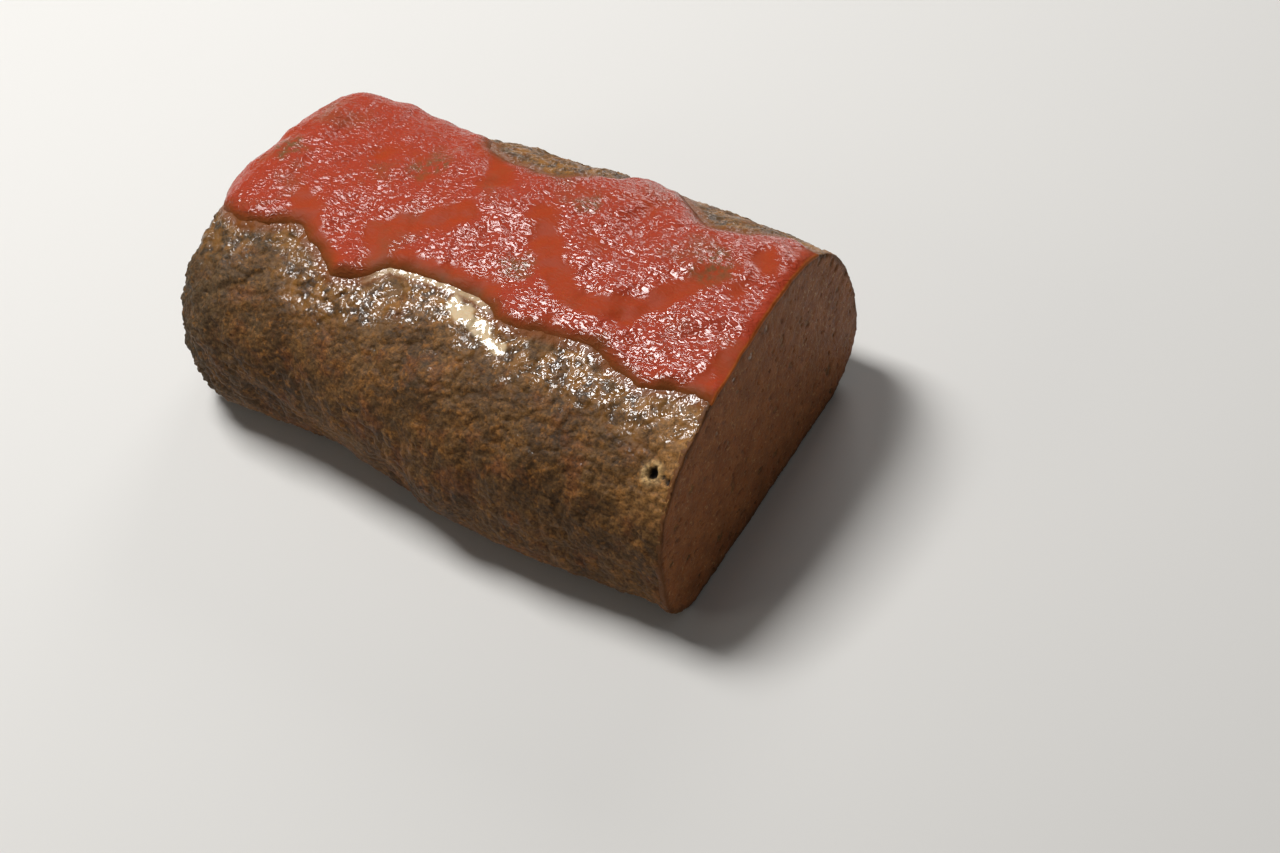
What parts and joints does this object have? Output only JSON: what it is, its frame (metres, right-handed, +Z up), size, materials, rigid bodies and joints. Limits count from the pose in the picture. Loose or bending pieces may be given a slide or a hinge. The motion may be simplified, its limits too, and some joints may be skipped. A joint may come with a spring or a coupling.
{
  "type": "meatloaf",
  "caption": "Baked meatloaf, free-form with one rounded end, cut flat across at the other, with a layer of tomato sauce over its top.",
  "frame": {"origin": "middle of the footprint's bounding box, on the surface that the loaf rests on", "axes": "+X towards the cut face, -X towards the rounded end, -Y towards the front side, +Z up"},
  "size_m": [0.1946, 0.123, 0.066],
  "materials": {
    "baked_meat": "browned, moist ground-meat crust, rough where granular and glossy where basted; tan crumb at the cut",
    "tomato_sauce": "glossy, slightly wrinkled tomato sauce"
  },
  "bodies": {
    "root": {"loaf": "baked_meat", "sauce": "tomato_sauce"}
  },
  "joints": []
}
